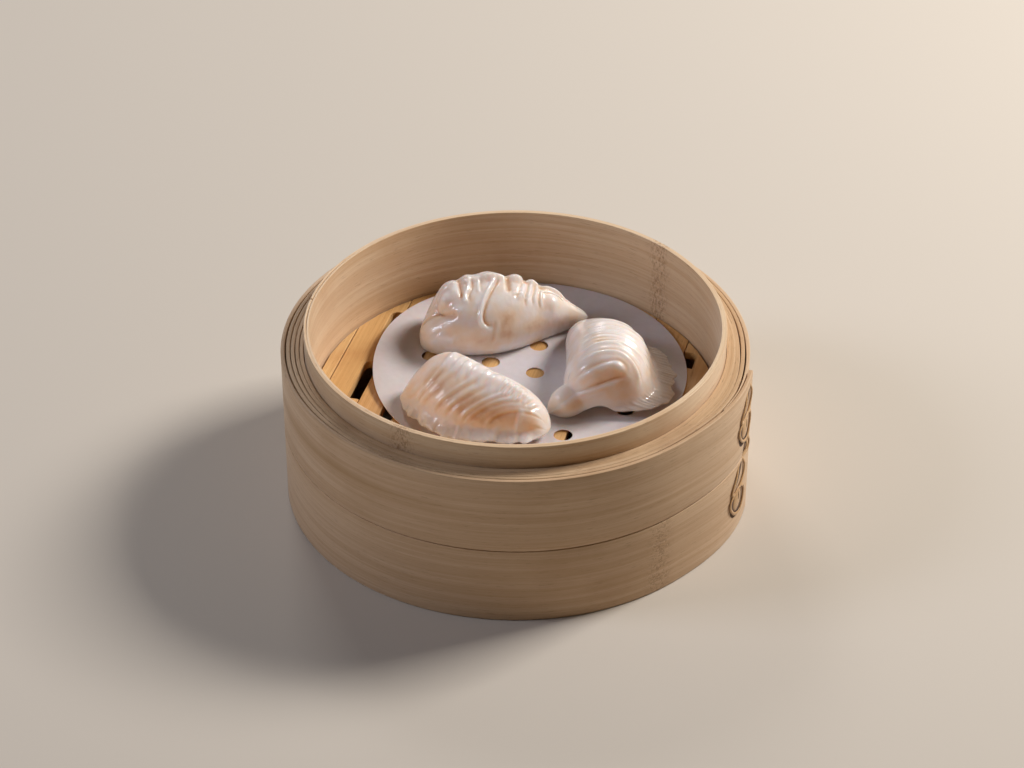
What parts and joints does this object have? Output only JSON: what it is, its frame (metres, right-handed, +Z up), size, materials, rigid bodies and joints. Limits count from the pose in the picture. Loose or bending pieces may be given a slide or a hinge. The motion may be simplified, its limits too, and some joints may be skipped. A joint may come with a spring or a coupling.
{
  "type": "dumplings in a steamer basket",
  "caption": "Pleated translucent steamed dumplings resting on a perforated paper liner inside an open round bamboo steamer basket with slatted floor and laced outer band.",
  "frame": {"origin": "centre of the underside of the basket, on the table", "axes": "+Z up along the basket's axis, +X to the right and -Y towards the viewer, with the lap and lacing of the outer band on the +X side"},
  "size_m": [0.1598, 0.1582, 0.0655],
  "materials": {
    "bamboo_band": "planed straight-grained bamboo strip, satin",
    "bamboo_core": "sawn edges of laminated bamboo layers, matt",
    "bamboo_inner": "planed bamboo strip, warm and satin",
    "bamboo_slat": "split bamboo slats, satin",
    "liner_paper": "thin greaseproof paper, slightly damp and translucent",
    "split_cane": "split cane lacing, satin",
    "dumpling_skin": "wet glossy translucent starch skin over a shrimp filling"
  },
  "bodies": {
    "root": {"outer_band_lower": "bamboo_band", "outer_band_upper": "bamboo_band", "core_outer": "bamboo_core", "core_inner": "bamboo_core", "inner_hoop": "bamboo_inner", "floor_ring": "bamboo_slat", "cross_bar_near": "bamboo_slat", "cross_bar_far": "bamboo_slat", "slat_middle": "bamboo_slat", "slat_left_1": "bamboo_slat", "slat_left_2": "bamboo_slat", "slat_left_3": "bamboo_slat", "slat_left_4": "bamboo_slat", "slat_left_5": "bamboo_slat", "slat_right_1": "bamboo_slat", "slat_right_2": "bamboo_slat", "slat_right_3": "bamboo_slat", "slat_right_4": "bamboo_slat", "slat_right_5": "bamboo_slat", "paper_liner": "liner_paper", "cane_loop_1": "split_cane", "cane_loop_2": "split_cane", "cane_loop_3": "split_cane", "cane_loop_4": "split_cane", "cane_loop_5": "split_cane", "dumpling_back": "dumpling_skin", "dumpling_front": "dumpling_skin", "dumpling_right": "dumpling_skin"}
  },
  "joints": []
}
